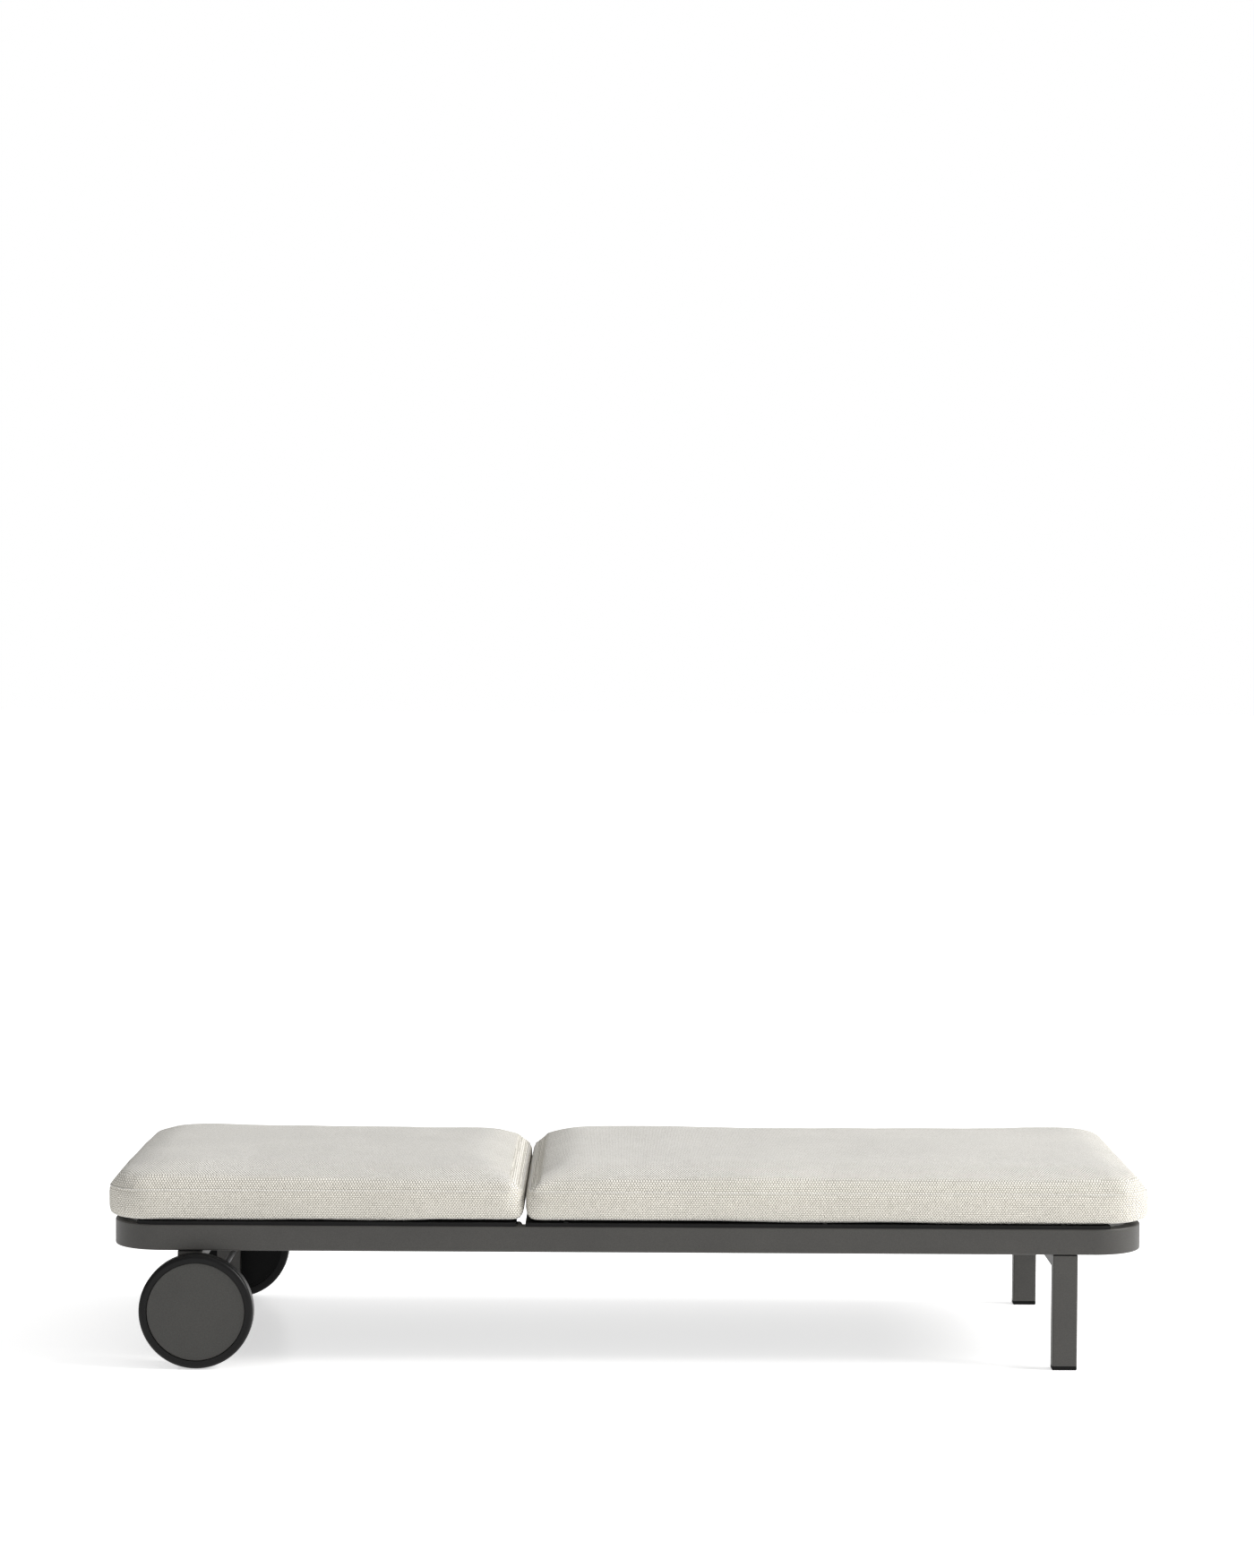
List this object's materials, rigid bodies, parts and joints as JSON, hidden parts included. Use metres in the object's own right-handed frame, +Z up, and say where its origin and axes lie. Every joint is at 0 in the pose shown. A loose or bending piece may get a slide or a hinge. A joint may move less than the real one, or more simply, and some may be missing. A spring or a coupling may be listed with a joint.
{
  "type": "sun lounger",
  "caption": "Low reclining sun lounger: ring frame on four legs, a wheel at each side of the head end, a tilting backrest on a notched stay, and thick boxed cushions.",
  "frame": {"origin": "on the floor, under the centre of the ring frame", "axes": "+X from the head end (wheels) to the foot end, +Y to the left of someone lying on it, +Z up"},
  "size_m": [2.033, 0.775, 0.382],
  "materials": {
    "tyre_rubber": "matt black rubber",
    "graphite_plastic": "matt graphite",
    "black_plastic": "matt black",
    "nylon": "smooth black nylon",
    "outdoor_cloth": "off-white woven outdoor cloth",
    "deck_board": "matt black compact laminate board",
    "steel": "zinc plated",
    "frame_coat": "fine textured graphite powder coat"
  },
  "bodies": {
    "frame": {"axle": "steel", "axle_nut_left": "steel", "axle_nut_right": "steel", "axle_washer_left": "steel", "axle_washer_right": "steel", "crossbar_foot": "frame_coat", "crossbar_head": "frame_coat", "foot_rail": "frame_coat", "glide_foot_left": "black_plastic", "glide_foot_right": "black_plastic", "glide_head_left": "black_plastic", "glide_head_right": "black_plastic", "head_rail": "frame_coat", "hinge_bracket_left": "frame_coat", "hinge_bracket_right": "frame_coat", "hinge_bush_left": "nylon", "hinge_bush_right": "nylon", "leg_bolts": "steel", "leg_foot_left": "frame_coat", "leg_foot_right": "frame_coat", "leg_head_left": "frame_coat", "leg_head_right": "frame_coat", "leg_pads": "black_plastic", "rack_left": "black_plastic", "rack_right": "black_plastic", "rack_screws": "steel", "seat_bearer_front": "frame_coat", "seat_bearer_middle": "frame_coat", "seat_bearer_rear": "frame_coat", "seat_cushion": "outdoor_cloth", "seat_panel": "deck_board", "seat_panel_screws": "steel", "side_rail_left": "frame_coat", "side_rail_right": "frame_coat"},
    "backrest": {"backrest_cross_tube_lower": "frame_coat", "backrest_cross_tube_middle": "frame_coat", "backrest_cross_tube_upper": "frame_coat", "backrest_cushion": "outdoor_cloth", "backrest_panel": "deck_board", "backrest_panel_screws": "steel", "backrest_stringer_left": "frame_coat", "backrest_stringer_right": "frame_coat", "hinge_ear_left": "frame_coat", "hinge_ear_right": "frame_coat", "hinge_pin_left": "steel", "hinge_pin_right": "steel", "stay_pivot_left": "steel", "stay_pivot_right": "steel"},
    "stay": {"stay_arm_left": "frame_coat", "stay_arm_right": "frame_coat", "stay_bar": "steel"},
    "wheel_left": {"tyre_left": "tyre_rubber", "rim_left": "black_plastic", "wheel_bush_left": "nylon", "wheel_cover_left": "graphite_plastic"},
    "wheel_right": {"tyre_right": "tyre_rubber", "rim_right": "black_plastic", "wheel_bush_right": "nylon", "wheel_cover_right": "graphite_plastic"}
  },
  "joints": [
    {"name": "backrest_recline", "type": "hinge", "parent": "frame", "child": "backrest", "pos_m": [-0.2115, 0, 0.268], "axis": [0, 1, 0], "range_deg": [0, 65], "deforming": ["backrest_cushion"]},
    {"name": "stay_swing", "type": "hinge", "parent": "backrest", "child": "stay", "pos_m": [-0.512, 0, 0.262], "axis": [0, 1, 0], "range_deg": [-130, 0]},
    {"name": "wheel_left_spin", "type": "hinge", "parent": "frame", "child": "wheel_left", "pos_m": [-0.829, 0.3695, 0.1115], "axis": [0, 1, 0], "continuous": true},
    {"name": "wheel_right_spin", "type": "hinge", "parent": "frame", "child": "wheel_right", "pos_m": [-0.829, -0.3695, 0.1115], "axis": [0, 1, 0], "continuous": true}
  ],
  "couplings": [
    {"joint": "stay_swing", "follows": "backrest_recline", "ratio": -2}
  ]
}
